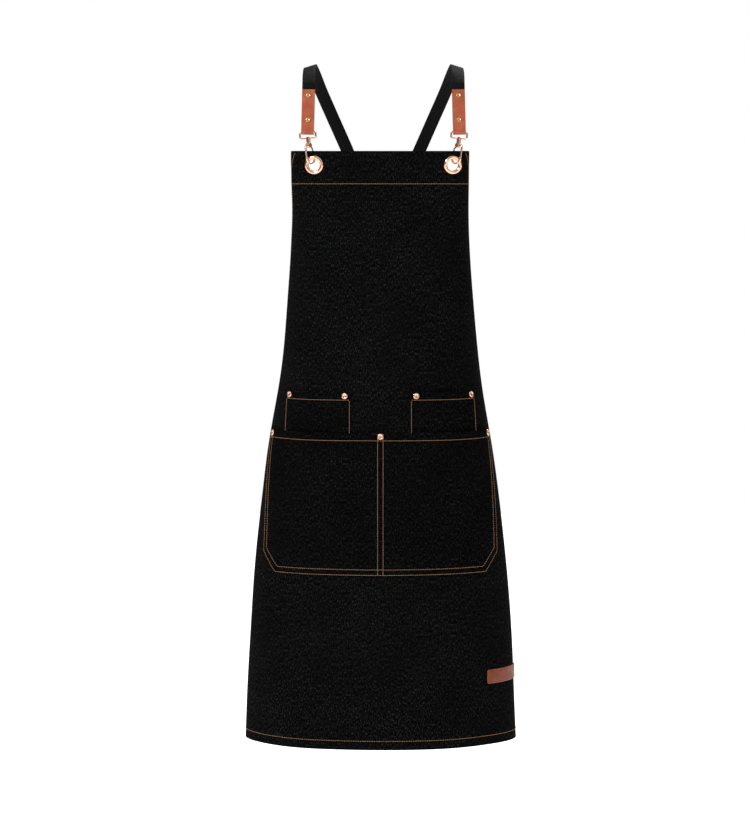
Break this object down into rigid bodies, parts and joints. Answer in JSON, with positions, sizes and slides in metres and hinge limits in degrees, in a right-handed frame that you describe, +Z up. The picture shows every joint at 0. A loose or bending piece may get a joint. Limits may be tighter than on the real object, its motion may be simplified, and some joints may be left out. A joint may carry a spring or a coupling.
{
  "type": "bib apron",
  "caption": "Denim bib apron in its worn shape, with front pockets, crossing webbing straps, leather tabs and swivel snap hooks in eyelets.",
  "frame": {"origin": "on the shoulders, on the panel's centre plane, where the two straps rest", "axes": "+Z up, +X to the viewer's right, the apron's front faces -Y"},
  "size_m": [0.407, 0.2576, 1.0089],
  "materials": {
    "denim": "black cotton denim with a dry hand",
    "webbing": "ribbed black webbing",
    "leather": "tan leather, semi matt, raw edges",
    "rose_gold": "polished rose gold plate",
    "antique_brass": "antique brass, worn bright on top",
    "spring_steel": "plain steel"
  },
  "bodies": {
    "root": {"apron_panel": "denim", "bib_facing": "denim", "bottom_hem_facing": "denim", "left_side_hem": "denim", "right_side_hem": "denim", "front_pocket": "denim", "left_upper_pocket": "denim", "right_upper_pocket": "denim", "hem_label": "leather", "pocket_rivet_caps": "rose_gold", "pocket_rivet_backs": "rose_gold", "left_eyelet_front": "rose_gold", "left_eyelet_back": "rose_gold", "left_hook_loop": "rose_gold", "left_leather_tab": "leather", "left_tab_rivet_caps": "antique_brass", "left_tab_rivet_backs": "antique_brass", "left_waist_ring": "rose_gold", "left_ring_tab": "webbing", "left_strap": "webbing", "right_eyelet_front": "rose_gold", "right_eyelet_back": "rose_gold", "right_hook_loop": "rose_gold", "right_leather_tab": "leather", "right_tab_rivet_caps": "antique_brass", "right_tab_rivet_backs": "antique_brass", "right_waist_ring": "rose_gold", "right_ring_tab": "webbing", "right_strap": "webbing"},
    "left_hook": {"left_hook_body": "rose_gold", "left_hook_stem": "rose_gold", "left_gate_pin": "rose_gold", "left_gate_spring": "spring_steel"},
    "left_gate_leaf": {"left_gate": "rose_gold"},
    "left_slider": {"left_strap_slider": "rose_gold"},
    "right_hook": {"right_hook_body": "rose_gold", "right_hook_stem": "rose_gold", "right_gate_pin": "rose_gold", "right_gate_spring": "spring_steel"},
    "right_gate_leaf": {"right_gate": "rose_gold"},
    "right_slider": {"right_strap_slider": "rose_gold"}
  },
  "joints": [
    {"name": "left_hook_swivel", "type": "hinge", "parent": "root", "child": "left_hook", "pos_m": [-0.1062, -0.10776, -0.09847], "axis": [-0.0872, 0, 0.9962], "range_deg": [-5, 40]},
    {"name": "right_hook_swivel", "type": "hinge", "parent": "root", "child": "right_hook", "pos_m": [0.11536, -0.10514, -0.09843], "axis": [-0.0872, 0, -0.9962], "range_deg": [-5, 40]},
    {"name": "left_gate_hinge", "type": "hinge", "parent": "left_hook", "child": "left_gate_leaf", "pos_m": [-0.10384, -0.107, -0.1179], "axis": [-0.7544, 0.6531, -0.066], "range_deg": [0, 3], "stiffness_Nm_per_rad": 0.02, "springref_deg": -17.19},
    {"name": "right_gate_hinge", "type": "hinge", "parent": "right_hook", "child": "right_gate_leaf", "pos_m": [0.11294, -0.10444, -0.11785], "axis": [-0.6918, -0.7195, 0.0605], "range_deg": [0, 3], "stiffness_Nm_per_rad": 0.02, "springref_deg": -17.19},
    {"name": "left_slider_slide", "type": "slide", "parent": "root", "child": "left_slider", "axis": [-0.4639, 0.2263, 0.8565], "range_m": [-0.03, 0.03]},
    {"name": "right_slider_slide", "type": "slide", "parent": "root", "child": "right_slider", "axis": [0.4639, 0.2263, 0.8565], "range_m": [-0.03, 0.03]}
  ]
}
